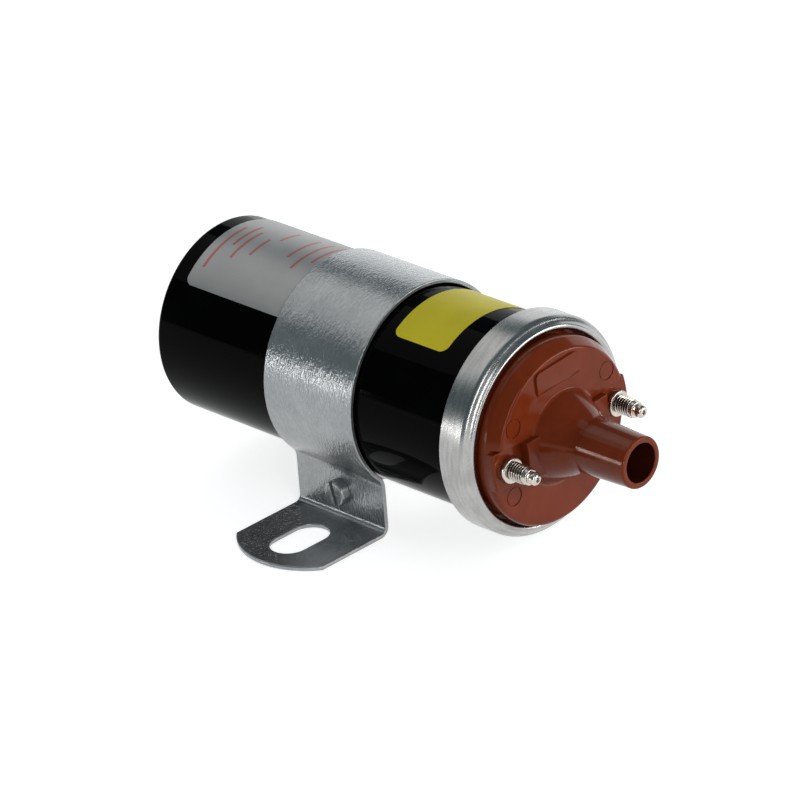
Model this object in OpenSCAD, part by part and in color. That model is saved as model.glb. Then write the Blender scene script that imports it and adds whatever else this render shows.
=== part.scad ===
// Can-type ignition coil, held in a sheet-metal clamp with one slotted foot.
// X runs along the can towards the high-tension tower, Z is up and the foot points to -Y.
// The origin is the middle of the foot's slot, on the underside of the foot. Millimetres.

/* [Can] */
// Outer diameter of the can
can_d = 52; // [44:1:62]
// Length of the can, from its closed end to the front of its rim
can_l = 105.9; // [90:0.1:130]
// Sheet thickness of the can
can_wall = 0.8; // [0.6:0.1:1.2]
// Radius round the closed end
can_edge = 1.5; // [1.2:0.1:5]
// How far the rim is flared out past the wall
rim_flare = 1.7; // [1.2:0.1:2.5]

/* [Crimp ring] */
// Sheet thickness of the crimp ring
ring_t = 0.85; // [0.6:0.05:1.2]
// Distance from the front of the rim back to the ring's rear edge
ring_back = 3; // [2.5:0.1:5]
// Width of the rolled lip that turns in over the cap
lip_w = 2.7; // [2:0.1:3.5]
// Radius of the bead along the edge of the lip
bead_r = 0.7; // [0.5:0.05:0.9]
// Radius of the ring's front shoulder
shoulder_r = 1.8; // [1:0.1:2.5]

/* [Cap] */
// Thickness of the gasket under the cap
gasket_t = 1; // [0.6:0.1:2]
// Thickness of the cap's flange
flange_t = 4.6; // [3:0.1:6]
// Distance from the can's wall in to the edge of the cap's face
face_in = 1.4; // [1.2:0.1:2.5]
// Height of the cap's face above its flange
face_h = 5.2; // [4:0.1:8]
// Height of the raised half above the face
raise_h = 2.7; // [1:0.1:4]
// Distance from the can's wall in to the edge of the raised half
raise_in = 2.8; // [2:0.1:4]
// Height of the raised half's lower edge beside the flare, above the cap's middle
raise_low = 5; // [4:0.1:7]
// Angle by which that edge climbs towards the rim
raise_slope = 6.5; // [0:0.5:15]
// Height of the pads under the studs, above the face
pad_h = 1.6; // [0.8:0.1:2]
// Width of the pads
pad_w = 10.6; // [9:0.1:12]
// Height of the block between the flare and each pad, above the face
block_rise = 4.5; // [2:0.1:6]
// Width of that block
block_w = 11.1; // [8:0.1:11.4]
// Diameter of the tower's flare where it meets the face
flare_d = 26.8; // [24:0.1:27]
// Height above the face at which the flare would meet the tower's side
flare_h = 11.7; // [8:0.1:14]
// Length of the tower, from the raised half to its end
tower_l = 25.8; // [20:0.1:34]
// Outer diameter of the tower at its end
tower_d = 13.6; // [12.8:0.1:15]
// How much wider the tower is at its foot
tower_draft = 1; // [0:0.1:2]
// Diameter of the tower's bore
tower_bore = 10.2; // [9:0.1:11]

/* [Terminal studs] */
// Distance from the can's wall in to the axis of a stud
stud_in = 6.6; // [6:0.1:8]
// Depth of the studs below the cap's middle
stud_down = 0.4; // [0:0.1:1]
// Diameter over the thread of a stud
stud_d = 4.8; // [3.8:0.1:4.9]
// Length of the thread in front of the collar
stud_l = 5; // [4:0.1:12]
// Diameter of the collar
collar_d = 6.8; // [6.5:0.1:7.6]
// Thickness of the collar
collar_t = 1.1; // [0.8:0.1:2]
// Length of the shoulder that holds the collar off its seat
shoulder_l = 1.1; // [0.5:0.1:2]
// Length in front of the thread: a plain end, a neck and a domed tip
tip_l = 3.2; // [2.4:0.1:4]
// Diameter of the domed tip
tip_d = 3.4; // [2.5:0.1:3.6]
// Diameter of the neck behind the tip
neck_d = 2.8; // [2:0.1:3]

/* [Clamp] */
// Width of the strap
strap_w = 31; // [26:1:40]
// Thickness of the strap
strap_t = 1.2; // [1:0.1:2]
// Distance from the can's closed end to the middle of the strap
strap_at = 56.4; // [40:0.1:65]
// Height of the can's axis above the underside of the foot
axis_h = 35.7; // [35:0.1:45]
// Distance from the can's axis out to the front of the leg
leg_out = 18.4; // [17:0.1:20]
// Radius of the bend between the band and the leg
band_bend = 4; // [2.5:0.5:6]
// Inner radius of the bend between the leg and the foot
foot_bend = 1.6; // [1:0.1:3]
// Distance from the can's axis out to the middle of the slot
slot_out = 33.8; // [31:0.1:38]
// Distance from the middle of the slot to the tip of the foot
foot_end = 14.4; // [12:0.1:20]
// How far the tip of the foot stands out past its corners
foot_crown = 7; // [3:0.5:10]
// Width of the slot
slot_w = 10; // [6:0.5:12]
// Length of the slot from end to end
slot_l = 17.4; // [14:0.2:20]
// Width of the strap's short end behind the leg
tail_w = 13; // [10:1:24]
// Gap between the leg and the short end
tail_gap = 0.5; // [0.3:0.1:0.8]
// Depth of the short end below the screw
tail_below = 4.6; // [4:0.1:5]
// Angle that the coil is turned by in the clamp
coil_turn = 4.2; // [-30:0.1:30]

/* [Clamp screw] */
// Thread diameter of the screw
screw_d = 4; // [3:0.5:4]
// Length of the screw under its head
screw_l = 7; // [6:0.5:7]
// Gap between the nut and the bend of the strap above it
nut_clear = 0.05; // [0.05:0.05:1]
// Diameter of the head
head_d = 7; // [6:0.1:8]
// Height of the head
head_h = 2.6; // [2:0.1:3]
// Diameter of the round nut
nut_d = 6.2; // [5.5:0.1:6.2]
// Thickness of the nut
nut_t = 2.2; // [1.6:0.1:2.4]

/* [Labels] */
// Thickness of both labels
label_t = 0.1; // [0.05:0.05:0.2]
// Distance from the closed end to the silver label
silver_at = 5.9; // [3:0.1:10]
// Length of the silver label along the can
silver_l = 50; // [35:1:60]
// Lower edge of the silver label, as an angle above the line through the studs
silver_from = 45.7; // [10:0.1:80]
// Angle that the silver label covers
silver_angle = 130; // [60:1:180]
// Distance from the closed end to the yellow label
yellow_at = 76.6; // [74:0.1:80]
// Length of the yellow label along the can
yellow_l = 18; // [10:0.5:24]
// Lower edge of the yellow label, as an angle above the line through the studs
yellow_from = 58.7; // [10:0.1:80]
// Angle that the yellow label covers
yellow_angle = 95; // [40:1:160]
// Radius of the corners of both labels
label_corner = 2.5; // [1:0.5:4]

/* [Core and windings] */
// Thickness of one iron strip
strip_t = 0.9; // [0.5:0.1:1.5]
// Number of iron strips
strip_n = 9; // [5:1:13]
// Width of the strips
strip_w = 9; // [6:0.5:10]
// Length of the iron core
core_l = 84; // [60:1:86]
// Wall of the paper tube round the core
core_tube_t = 1; // [0.5:0.1:2]
// Radial build of the secondary winding
secondary_t = 6.5; // [4:0.1:7]
// Radial build of the insulation between the windings
sleeve_t = 1; // [0.5:0.1:1.5]
// Radial build of the primary winding
primary_t = 2.8; // [1.5:0.1:3]
// Thickness of the paper wrap over the primary winding
wrap_t = 0.8; // [0.4:0.1:1]
// Sheet thickness of a flux jacket
jacket_t = 0.6; // [0.3:0.1:0.8]
// Width of the slit in a flux jacket
jacket_slit = 4; // [2:0.5:8]
// Height of the porcelain base
base_h = 10; // [7:0.5:14]
// Thickness of the spacer over the windings
spacer_t = 3; // [2:0.5:5]

/* [Hidden] */
$fn = 96;

// Clearances
fit_gap = 0.1;
film_gap = 0.05;
strap_clear = 0.2;
ring_clear = 0.2;
screw_hole_clear = 0.25;
thread_clear = 0.08;
cut = 1;

// Radii and stations, measured from the can's axis and from its closed end
can_r = can_d / 2;
can_in = can_r - can_wall;
rim_r = can_r + rim_flare;
gasket_x = can_l;
flange_x = gasket_x + gasket_t;
lip_x = flange_x + flange_t;
face_x = lip_x + face_h;
raise_x = face_x + raise_h;
tower_x = raise_x + tower_l;
ring_in = rim_r + ring_clear;
ring_r = ring_in + ring_t;
lip_r = ring_in - lip_w;
face_r = can_r - face_in;
raise_r = can_r - raise_in;
pad_x = face_x + pad_h;
flare_r = flare_d / 2;
stud_y = can_r - stud_in;

// Strap
band_in = can_r + label_t + film_gap + strap_clear;
band_out = band_in + strap_t;
leg_back = leg_out - strap_t;
tail_front = leg_back - tail_gap;
tail_back = tail_front - strap_t;
tail_bend = 0.8;
tail_root = 18;
bend_thinning = 0.02;
bend_lap = 2;
foot_top = -axis_h + strap_t;
bend_y = -leg_out - band_bend;
bend_z = -sqrt(pow(band_out + band_bend, 2) - pow(bend_y, 2));
tail_y = -tail_back + tail_bend;
tail_z = -sqrt(pow(band_out + tail_bend, 2) - pow(tail_y, 2));
band_end = 180 + atan2(-bend_z, -bend_y);
tail_start = 180 + atan2(-tail_z, -tail_y);
screw_drop = ceil(10 * (nut_d / 2 - tail_z + nut_clear)) / 10;
foot_arc = (pow(strap_w / 2, 2) + pow(foot_crown, 2)) / (2 * foot_crown);
screw_r = screw_d / 2;

// Core and windings, from the inside out
strip_pitch = strip_t + film_gap;
core_h = strip_n * strip_pitch - film_gap;
core_r = norm([strip_w, core_h]) / 2;
core_tube_in = core_r + fit_gap;
secondary_in = core_tube_in + core_tube_t + fit_gap;
sleeve_in = secondary_in + secondary_t + fit_gap;
primary_in = sleeve_in + sleeve_t + fit_gap;
wrap_in = primary_in + primary_t + fit_gap;
wrap_out = wrap_in + wrap_t;
jacket_out_r = can_in - 2 * fit_gap;
jacket_in_r = jacket_out_r - jacket_t - fit_gap;
base_x = can_wall + fit_gap;
core_x = base_x + base_h / 2;
core_end = core_x + core_l;
winding_x = base_x + base_h + fit_gap;
winding_end = core_end - 4;
spacer_x = winding_end + fit_gap;
contact_t = 1.5;
contact_x = core_end + fit_gap;

// High-tension contact
socket_r = 3.4;
socket_flange_t = 1.2;
socket_flange_r = tower_bore / 2 - 0.5;
socket_x = face_x + 1;
barrel_r = 9.5;
barrel_x = contact_x + contact_t + 6;
socket_end = barrel_x + 2;
spring_r = 2.5;
spring_wire = 0.4;
spring_curls = 5;
spring_rings = 8;
spring_sides = 6;

// Cap
face_edge = 1.2;
raise_fillet = 0.9;
cap_wall = 4.4;
skirt_t = 2;
skirt_in = face_r - skirt_t;
ceiling_x = face_x - cap_wall;
seat_r = collar_d / 2 + 0.25;
seat_depth = 0.3;
seat_x = pad_x - seat_depth;
tower_foot_r = (tower_d + tower_draft) / 2;
tower_lip = 0.6;
flare_slope = (flare_r - tower_foot_r) / flare_h;
flare_start = 0.8;
flare_end = 1.5;
flare_fillet = 1;
raise_foot_fillet = 0.4;
pad_edge = 0.6;
pad_r = face_r - fit_gap;
block_out = stud_y - seat_r - 1.15;
pin_mark_r = 2.5;
pin_mark_depth = 0.25;
pin_mark_y = 0.69 * face_r;
pin_mark_z = 0.41 * face_r;
panel_w = 15.4;
panel_top = raise_r - 2.4;
panel_h = 6.4;
panel_rise = 0.6;
panel_corner = 1.6;

// Studs and leads below the cap
rivet_t = 1;
rivet_r = stud_d / 2 + 0.4;
plate_t = 1;
plate_x = ceiling_x - plate_t;
plate_in = 4.5;
plate_out = 2.2;
plate_w = 8.4;
lead_r = 0.6;
lead_angle = 12;
lead_at = primary_in + primary_t / 2;

black = [0.03, 0.03, 0.035];
brown = [0.42, 0.2, 0.12];
zinc = [0.72, 0.74, 0.76];
bare_metal = [0.78, 0.78, 0.77];
nickel = [0.8, 0.79, 0.74];
brass = [0.75, 0.6, 0.3];
copper = [0.72, 0.4, 0.2];
paper = [0.72, 0.6, 0.42];
iron = [0.4, 0.4, 0.42];
porcelain = [0.92, 0.9, 0.85];

// Places children with local X to Y, local Y to Z and local Z along the can, from its closed end
module on_axis() {
    translate([-strap_at, slot_out, axis_h]) rotate([90, 0, 90]) children();
}

// The same, turned with the coil in its clamp
module coil() {
    on_axis() rotate([0, 0, coil_turn]) children();
}

module tube(r_in, r_out, from, to) {
    translate([0, 0, from]) difference() {
        cylinder(r = r_out, h = to - from);
        translate([0, 0, -cut]) cylinder(r = r_in, h = to - from + 2 * cut);
    }
}

module disc(r, from, to) {
    translate([0, 0, from]) cylinder(r = r, h = to - from);
}

// Flat wedge between two angles, wide enough to cut anything in the model
module wedge(from, to) {
    reach = 200;
    middle = (from + to) / 2;
    polygon([[0, 0], reach * [cos(from), sin(from)], reach * [cos(middle), sin(middle)],
        reach * [cos(to), sin(to)]]);
}

// Strip bent round a centre, which laps into the stretches that it joins
module bent_strip(r_in, from, to) {
    difference() {
        circle(r = r_in + strap_t - bend_thinning);
        circle(r = r_in + bend_thinning);
        wedge(to + bend_lap, from + 360 - bend_lap);
    }
}

// Half outline of a disc with a rounded front edge, for turning
module rounded_disc(r, from, to, edge) {
    translate([0, from]) square([r, to - from - edge]);
    translate([0, from]) square([r - edge, to - from]);
    translate([r - edge, to - edge]) intersection() {
        circle(r = edge);
        square(edge);
    }
}

// Band, leg, bends and foot as one strip, seen along the can
module strap_outline() {
    difference() {
        circle(r = band_out);
        circle(r = band_in);
        wedge(band_end, tail_start + tail_root);
    }
    translate([bend_y, bend_z]) bent_strip(band_bend, 0, band_end - 180);
    translate([-leg_out, foot_top + foot_bend]) square([strap_t, bend_z - foot_top - foot_bend]);
    translate([-leg_out - foot_bend, foot_top + foot_bend]) bent_strip(foot_bend, 270, 360);
    translate([-slot_out - foot_end, -axis_h]) square([slot_out + foot_end - leg_out - foot_bend, strap_t]);
}

// Short end behind the leg
module tail_outline() {
    intersection() {
        difference() {
            circle(r = band_out);
            circle(r = band_in);
        }
        wedge(tail_start, tail_start + tail_root + bend_lap);
    }
    translate([tail_y, tail_z]) bent_strip(tail_bend, tail_start - 180, 180);
    translate([-tail_front, -screw_drop - tail_below]) square([strap_t, tail_z + screw_drop + tail_below]);
}

// What is cut from the foot: its slot and what lies outside the arc of its tip
module foot_cuts() {
    for (end = [-1, 1]) translate([0, end * (slot_l - slot_w) / 2, -cut])
        cylinder(d = slot_w, h = strap_t + 2 * cut);
    translate([-slot_w / 2, (slot_w - slot_l) / 2, -cut])
        cube([slot_w, slot_l - slot_w, strap_t + 2 * cut]);
    translate([0, foot_arc - foot_end, -cut]) difference() {
        translate([-strap_w, -foot_arc - cut, 0]) cube([2 * strap_w, foot_arc, strap_t + 2 * cut]);
        translate([0, 0, -cut]) cylinder(r = foot_arc, h = strap_t + 4 * cut);
    }
}

// Places children on the screw's axis, with local Z pointing from the head to the nut
module on_screw() {
    translate([0, slot_out - leg_out, axis_h - screw_drop]) rotate([-90, 0, 0]) children();
}

module clamp_strap() {
    color(zinc) difference() {
        union() {
            on_axis() translate([0, 0, strap_at - strap_w / 2]) linear_extrude(strap_w) strap_outline();
            on_axis() translate([0, 0, strap_at - tail_w / 2]) linear_extrude(tail_w) tail_outline();
        }
        foot_cuts();
        on_screw() translate([0, 0, -cut])
            cylinder(r = screw_r + screw_hole_clear, h = leg_out - tail_back + 2 * cut);
    }
}

module clamp_screw() {
    groove_w = 1.2;
    groove_depth = 1.2;
    groove_turn = 75;
    color(zinc) on_screw() difference() {
        union() {
            translate([0, 0, -head_h]) cylinder(d = head_d, h = head_h);
            cylinder(r = screw_r, h = screw_l);
        }
        rotate([0, 0, groove_turn]) translate([-head_d, -groove_w / 2, -head_h - cut])
            cube([2 * head_d, groove_w, groove_depth + cut]);
    }
}

module clamp_nut() {
    color(zinc) on_screw() translate([0, 0, leg_out - tail_back]) difference() {
        cylinder(d = nut_d, h = nut_t);
        translate([0, 0, -cut]) cylinder(r = screw_r + thread_clear, h = nut_t + 2 * cut);
    }
}

// Drawn can: flat floor with a round edge, straight wall and a flared rim
module can() {
    flare_x = can_l - can_wall - rim_flare;
    inner_edge = can_edge - can_wall;
    color(black) coil() rotate_extrude() {
        square([can_r - can_edge, can_wall]);
        translate([can_in, can_edge]) square([can_wall, flare_x - can_edge]);
        translate([can_r - can_edge, can_edge]) intersection() {
            difference() {
                circle(r = can_edge);
                circle(r = inner_edge);
            }
            translate([0, -can_edge]) square(can_edge);
        }
        polygon([[can_in, flare_x], [can_r, flare_x], [rim_r, can_l - can_wall], [rim_r, can_l],
            [rim_r - can_wall, can_l]]);
    }
}

// Ring with a coned rear edge behind the rim, a round shoulder and a beaded lip over the cap
module crimp_ring() {
    rear_x = can_l - ring_back;
    cone_x = can_l - can_wall - ring_clear;
    rear_r = can_r + ring_clear;
    front_x = lip_x + ring_t;
    color(bare_metal) coil() rotate_extrude() {
        polygon([[rear_r, rear_x], [rear_r + ring_t, rear_x], [ring_r, cone_x - ring_t], [ring_r, cone_x],
            [ring_in, cone_x], [rear_r, cone_x - rim_flare]]);
        translate([ring_in, cone_x - ring_t / 2])
            square([ring_t, front_x - shoulder_r - cone_x + ring_t / 2]);
        translate([lip_r + bead_r, lip_x]) square([ring_r - shoulder_r - lip_r - bead_r, ring_t]);
        translate([ring_r - shoulder_r, front_x - shoulder_r]) difference() {
            intersection() {
                circle(r = shoulder_r);
                square(shoulder_r);
            }
            square([shoulder_r - ring_t, shoulder_r - ring_t]);
        }
        translate([lip_r + bead_r, lip_x + bead_r]) circle(r = bead_r, $fn = 32);
    }
}

// Radius of the flare at a station
function flare_at(x) = flare_r - flare_slope * (x - face_x);

// Radius and station along the curve between the flare and the tower's side
function flare_point(t) = let(
        knee = [tower_foot_r, face_x + flare_h],
        start = [flare_at(face_x + flare_start * flare_h), face_x + flare_start * flare_h],
        end = knee + [0, flare_end])
    pow(1 - t, 2) * start + 2 * t * (1 - t) * knee + pow(t, 2) * end;

// Half outline of the fillet round the flare's foot on a face
module foot_fillet(x, r) {
    polygon([[flare_at(x) - cut, x - cut], [flare_at(x) + r, x - cut], [flare_at(x) + r, x],
        [flare_at(x) + r / 4, x + r / 3], [flare_at(x + r), x + r], [flare_at(x) - cut, x + r]]);
}

module cap_turned() {
    steps = 6;
    rotate_extrude() difference() {
        union() {
            translate([0, flange_x]) square([rim_r - fit_gap, flange_t]);
            rounded_disc(face_r, flange_x, face_x, face_edge);
            polygon(concat([[0, face_x - cut], [flare_at(face_x - cut), face_x - cut]],
                [for (i = [0 : steps]) flare_point(i / steps)],
                [[tower_d / 2, tower_x - tower_lip], [tower_d / 2 - tower_lip, tower_x], [0, tower_x]]));
            foot_fillet(face_x, flare_fillet);
            translate([0, barrel_x]) square([barrel_r, flange_x - barrel_x + cut]);
        }
        translate([barrel_r, flange_x - cut]) square([skirt_in - barrel_r, ceiling_x - flange_x + cut]);
        translate([0, barrel_x - cut]) square([socket_r + fit_gap, socket_x - barrel_x + 2 * cut]);
        translate([0, socket_x]) square([socket_flange_r + fit_gap, tower_x - socket_x]);
        translate([0, socket_x + socket_flange_t]) square([tower_bore / 2, tower_x - socket_x + cut]);
    }
}

// Raised upper half of the cap, whose lower edges climb from the flare to the rim
module cap_raised() {
    climb = (can_r - flare_r) * tan(raise_slope);
    intersection() {
        rotate_extrude() {
            difference() {
                rounded_disc(raise_r, face_x - cut, raise_x, raise_fillet);
                translate([0, face_x - 2 * cut]) square([barrel_r, raise_h + 3 * cut]);
            }
            foot_fillet(raise_x, raise_foot_fillet);
        }
        translate([0, 0, face_x - 2 * cut]) linear_extrude(raise_h + 4 * cut)
            polygon([[-flare_r, raise_low], [flare_r, raise_low], [can_r, raise_low + climb], [can_r, can_r],
                [-can_r, can_r], [-can_r, raise_low + climb]]);
    }
}

// Pads that carry the studs, from the blocks out to the rim
module cap_pads() {
    intersection() {
        rotate_extrude() rounded_disc(pad_r, face_x - cut, pad_x, pad_edge);
        for (side = [0, 1]) mirror([side, 0, 0])
            translate([block_out - cut, -pad_w / 2, face_x - 2 * cut]) cube([can_r, pad_w, pad_h + 3 * cut]);
    }
}

// Blocks between the flare and the pads, which stop a terminal from turning
module cap_blocks() {
    difference() {
        for (side = [0, 1]) mirror([side, 0, 0])
            translate([0, -stud_down - block_w / 2, face_x - cut])
                cube([block_out, block_w, block_rise + cut]);
        translate([0, 0, face_x - 2 * cut]) cylinder(r = barrel_r, h = block_rise + 3 * cut);
    }
}

// Low wedge on the raised half, highest along its rounded upper edge
module cap_panel() {
    straight = panel_h - panel_corner;
    difference() {
        translate([0, panel_top - panel_h, raise_x - cut]) linear_extrude(panel_rise + cut) {
            translate([-panel_w / 2, 0]) square([panel_w, straight]);
            translate([panel_corner - panel_w / 2, 0]) square([panel_w - 2 * panel_corner, panel_h]);
            for (side = [-1, 1])
                translate([side * (panel_w / 2 - panel_corner), straight]) circle(r = panel_corner);
        }
        translate([-panel_w, panel_top - panel_h, raise_x]) rotate([atan(panel_rise / panel_h), 0, 0])
            translate([0, -cut, 0]) cube([2 * panel_w, 2 * panel_h, panel_h]);
    }
}

module cap() {
    color(brown) coil() difference() {
        union() {
            cap_turned();
            cap_raised();
            cap_pads();
            cap_blocks();
            cap_panel();
        }
        for (side = [0, 1]) mirror([side, 0, 0]) {
            translate([stud_y, -stud_down, seat_x]) cylinder(r = seat_r, h = block_rise);
            translate([stud_y, -stud_down, flange_x - cut])
                cylinder(r = stud_d / 2 + fit_gap, h = seat_x - flange_x + 2 * cut);
            translate([pin_mark_y, pin_mark_z, raise_x - pin_mark_depth]) cylinder(r = pin_mark_r, h = cut);
            translate([pin_mark_y, -pin_mark_z, face_x - pin_mark_depth]) cylinder(r = pin_mark_r, h = cut);
        }
    }
}

module cap_gasket() {
    color("black") coil() tube(can_in, rim_r - fit_gap, gasket_x, gasket_x + gasket_t);
}

// Stud with a riveted foot below the cap, a collar held off its seat, a thread and a necked tip
module terminal_stud() {
    collar_edge = 0.3;
    end_edge = 0.25;
    plain_l = 0.9;
    neck_l = 0.5;
    collar_x = seat_x + shoulder_l;
    thread_x = collar_x + collar_t;
    end_x = thread_x + stud_l;
    neck_x = end_x + plain_l;
    tip_edge = tip_d / 2 - 0.6;
    end_r = stud_d / 2 - end_edge;
    rotate_extrude() {
        translate([0, plate_x - rivet_t]) square([rivet_r, rivet_t]);
        translate([0, plate_x]) square([stud_d / 2, end_x - end_edge - plate_x]);
        translate([0, seat_x]) square([(stud_d + collar_d) / 4, shoulder_l]);
        rounded_disc(collar_d / 2, collar_x, thread_x, collar_edge);
        polygon([[0, end_x - end_edge], [stud_d / 2, end_x - end_edge], [end_r, end_x],
            [end_r, neck_x - end_edge], [end_r - end_edge, neck_x], [0, neck_x]]);
        translate([0, neck_x]) square([neck_d / 2, neck_l]);
        rounded_disc(tip_d / 2, neck_x + neck_l, end_x + tip_l, tip_edge);
    }
}

module terminal_stud_near() {
    color(nickel) coil() translate([-stud_y, -stud_down, 0]) terminal_stud();
}

module terminal_stud_far() {
    color(nickel) coil() translate([stud_y, -stud_down, 0]) terminal_stud();
}

// Plates between the cap's underside and the riveted feet of the studs
module stud_plates() {
    color(brass) coil() for (side = [0, 1]) mirror([side, 0, 0])
        translate([stud_y, -stud_down, plate_x]) difference() {
            translate([-plate_in, -plate_w / 2, 0]) cube([plate_in + plate_out, plate_w, plate_t]);
            translate([0, 0, -cut]) cylinder(r = stud_d / 2 + fit_gap, h = plate_t + 2 * cut);
        }
}

// Wire from the front of the primary winding up to a stud's plate
module primary_lead(angle) {
    rotate([0, 0, angle]) translate([lead_at, 0, winding_end])
        cylinder(r = lead_r, h = plate_x - winding_end);
}

module primary_lead_near() {
    color(copper) coil() primary_lead(180 - lead_angle);
}

module primary_lead_far() {
    color(copper) coil() primary_lead(lead_angle);
}

// Brass socket that stands on the floor of the tower's bore and reaches down to the spring
module ht_socket() {
    cup_r = 2.2;
    cup_depth = 8;
    color(brass) coil() difference() {
        union() {
            disc(socket_r, socket_end, socket_x);
            disc(socket_flange_r, socket_x, socket_x + socket_flange_t);
        }
        disc(cup_r, socket_x + socket_flange_t - cup_depth, socket_x + socket_flange_t + cut);
    }
}

// One ring of points round the spring's wire, at a turn counted from its lower end
function spring_ring(turn, low, high) = let(
        angle = 360 * turn,
        rise = (high - low) / spring_curls,
        out = [cos(angle), sin(angle), 0],
        run = [-sin(angle) * 2 * PI * spring_r, cos(angle) * 2 * PI * spring_r, rise],
        up = cross(out, run / norm(run)))
    [for (k = [0 : spring_sides - 1]) let(a = 360 * k / spring_sides)
        spring_r * out + [0, 0, low + rise * turn] + spring_wire * (cos(a) * out + sin(a) * up)];

// Helical spring as one unbroken wire
module contact_spring() {
    low = contact_x + contact_t + fit_gap + spring_wire;
    high = socket_end - fit_gap - spring_wire;
    last = spring_curls * spring_rings;
    n = spring_sides;
    points = [for (i = [0 : last]) each spring_ring(i / spring_rings, low, high)];
    sides = [for (i = [0 : last - 1], k = [0 : n - 1]) let(m = (k + 1) % n)
        each [[i * n + k, (i + 1) * n + m, i * n + m], [i * n + k, (i + 1) * n + k, (i + 1) * n + m]]];
    start = [for (k = [1 : n - 2]) [0, k, k + 1]];
    finish = [for (k = [1 : n - 2]) [last * n, last * n + k + 1, last * n + k]];
    gap = min([for (i = [0 : last - spring_rings], a = [0 : n - 1], b = [0 : n - 1])
        norm(points[i * n + a] - points[(i + spring_rings) * n + b])]);
    echo(least_gap_between_curls = gap);
    color(bare_metal) coil() polyhedron(points = points, faces = concat(sides, start, finish));
}

module core_contact() {
    color(brass) coil() disc(core_tube_in, contact_x, contact_x + contact_t);
}

module core_strips() {
    color(iron) coil() for (i = [0 : strip_n - 1])
        translate([-strip_w / 2, i * strip_pitch - core_h / 2, core_x]) cube([strip_w, strip_t, core_l]);
}

module core_tube() {
    color(paper) coil() tube(core_tube_in, core_tube_in + core_tube_t, winding_x, core_end);
}

module secondary_winding() {
    color(copper) coil() tube(secondary_in, secondary_in + secondary_t, winding_x, winding_end);
}

module winding_sleeve() {
    color(paper) coil() tube(sleeve_in, sleeve_in + sleeve_t, winding_x, winding_end);
}

module primary_winding() {
    color(copper) coil() tube(primary_in, primary_in + primary_t, winding_x, winding_end);
}

module outer_wrap() {
    color(paper) coil() tube(wrap_in, wrap_out, winding_x, winding_end);
}

// Sheet-iron jacket with a slit along it, so that it is not a closed turn
module flux_jacket(r_out, slit_angle) {
    difference() {
        tube(r_out - jacket_t, r_out, winding_x, spacer_x + spacer_t);
        rotate([0, 0, slit_angle]) translate([0, -jacket_slit / 2, winding_x - cut])
            cube([can_d, jacket_slit, can_l]);
    }
}

module flux_jacket_inner() {
    color(iron) coil() flux_jacket(jacket_in_r, 90);
}

module flux_jacket_outer() {
    color(iron) coil() flux_jacket(jacket_out_r, 270);
}

// Porcelain base with a pocket for the core and notches that let the oil past
module base_insulator() {
    base_r = jacket_in_r - jacket_t - fit_gap;
    notch_r = 3;
    notch_n = 6;
    color(porcelain) coil() difference() {
        disc(base_r, base_x, base_x + base_h);
        disc(core_r + fit_gap, core_x - fit_gap, base_x + base_h + cut);
        for (i = [0 : notch_n - 1]) rotate([0, 0, 360 * i / notch_n]) translate([base_r, 0, base_x - cut])
            cylinder(r = notch_r, h = base_h + 2 * cut);
    }
}

// Pressboard disc between the windings and the cap, with holes for the leads
module top_spacer() {
    spacer_r = jacket_in_r - jacket_t - fit_gap;
    color(paper) coil() difference() {
        tube(core_tube_in + core_tube_t + fit_gap, spacer_r, spacer_x, spacer_x + spacer_t);
        for (angle = [lead_angle, 180 - lead_angle]) rotate([0, 0, angle])
            translate([lead_at, 0, spacer_x - cut]) cylinder(r = lead_r + fit_gap, h = spacer_t + 2 * cut);
    }
}

// What is cut from one corner of a label, seen on its face
module corner_cut() {
    difference() {
        translate([-cut, -cut]) square(label_corner + cut);
        translate([label_corner - film_gap, label_corner - film_gap]) circle(r = label_corner);
    }
}

// Thin label laid round the can, with rounded corners
module label(at, length, from, angle) {
    first = 180 - from - angle;
    difference() {
        intersection() {
            tube(can_r + film_gap, can_r + film_gap + label_t, at, at + length);
            translate([0, 0, at]) linear_extrude(length) wedge(first, first + angle);
        }
        for (side = [0, 1], end = [0, 1])
            translate([0, 0, at + end * length]) rotate([0, 0, first + side * angle])
                translate([can_r - cut, 0, 0]) rotate([90, 0, 90]) linear_extrude(2 * cut)
                    mirror([side, 0]) mirror([0, end]) corner_cut();
    }
}

module silver_label() {
    color([0.62, 0.61, 0.6]) coil() label(silver_at, silver_l, silver_from, silver_angle);
}

module yellow_label() {
    color([0.72, 0.66, 0.12]) coil() label(yellow_at, yellow_l, yellow_from, yellow_angle);
}

clamp_strap();
clamp_screw();
clamp_nut();
can();
crimp_ring();
cap();
cap_gasket();
terminal_stud_near();
terminal_stud_far();
stud_plates();
primary_lead_near();
primary_lead_far();
ht_socket();
contact_spring();
core_contact();
core_strips();
core_tube();
secondary_winding();
winding_sleeve();
primary_winding();
outer_wrap();
flux_jacket_inner();
flux_jacket_outer();
base_insulator();
top_spacer();
silver_label();
yellow_label();
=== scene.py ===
"""Looks of a can-type ignition coil in its clamp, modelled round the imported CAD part. Metres."""
import math
from contextlib import contextmanager

import bmesh
import bpy
from mathutils import Matrix, Quaternion, Vector


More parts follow.
